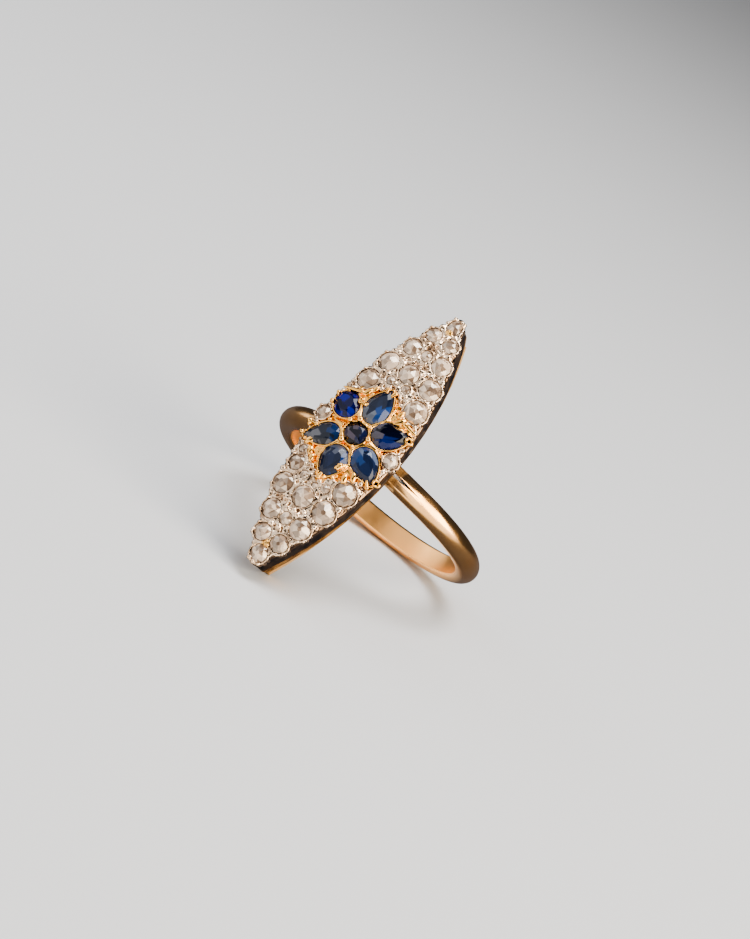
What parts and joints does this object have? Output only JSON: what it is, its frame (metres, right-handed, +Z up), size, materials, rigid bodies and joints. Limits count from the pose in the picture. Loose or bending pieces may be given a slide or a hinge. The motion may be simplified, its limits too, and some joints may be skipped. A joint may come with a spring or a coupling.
{
  "type": "navette ring",
  "caption": "Ring with a round-backed hoop, split shoulders and a long pointed head of rose-cut stones round a flower of petal-shaped blue stones.",
  "frame": {"origin": "middle of the finger hole", "axes": "+Z up from the surface that the ring lies on; +X across the head; the finger hole's axis lies in the YZ plane and leans up towards +Y"},
  "size_m": [0.0202, 0.0256, 0.0226],
  "materials": {
    "shank_gold": "polished rosy yellow gold, softly worn, with a faint film of tarnish inside the hoop",
    "flower_gold": "warm yellow gold, cast and chased into grains, beads and claws",
    "silver": "old silver, bright on the rims and beads, black with tarnish down the wall and in the hollows",
    "diamond": "rose-cut diamond, clear to smoky, over a grey back",
    "sapphire_royal": "faceted sapphire, vivid royal blue",
    "sapphire_blue": "faceted sapphire, mid blue",
    "sapphire_dark": "faceted sapphire, dark slate blue"
  },
  "bodies": {
    "root": {"gold_shank": "shank_gold", "silver_setting": "silver", "gold_flower": "flower_gold", "sapphire_middle": "sapphire_dark", "sapphire_petal_top": "sapphire_blue", "sapphire_petal_top_right": "sapphire_dark", "sapphire_petal_low_right": "sapphire_blue", "sapphire_petal_low": "sapphire_blue", "sapphire_petal_low_left": "sapphire_dark", "sapphire_petal_top_left": "sapphire_royal", "diamond_upper_tip": "diamond", "diamond_lower_tip": "diamond", "diamond_upper_1_left": "diamond", "diamond_upper_1_right": "diamond", "diamond_upper_2_left": "diamond", "diamond_upper_2_right": "diamond", "diamond_upper_2_middle": "diamond", "diamond_upper_3_left": "diamond", "diamond_upper_3_right": "diamond", "diamond_upper_3_middle": "diamond", "diamond_upper_4_left": "diamond", "diamond_upper_4_right": "diamond", "diamond_lower_1_right": "diamond", "diamond_lower_2_left": "diamond", "diamond_lower_2_right": "diamond", "diamond_lower_2_middle": "diamond", "diamond_lower_3_left": "diamond", "diamond_lower_3_right": "diamond", "diamond_lower_3_middle": "diamond", "diamond_lower_4_left": "diamond", "diamond_lower_4_right": "diamond", "diamond_lower_1_left": "diamond", "diamond_small_upper_left": "diamond", "diamond_small_upper_right": "diamond", "diamond_small_lower_left": "diamond", "diamond_small_lower_middle": "diamond", "diamond_small_lower_right": "diamond", "diamond_small_flower_left": "diamond", "diamond_side_left": "diamond", "diamond_side_right": "diamond"}
  },
  "joints": []
}
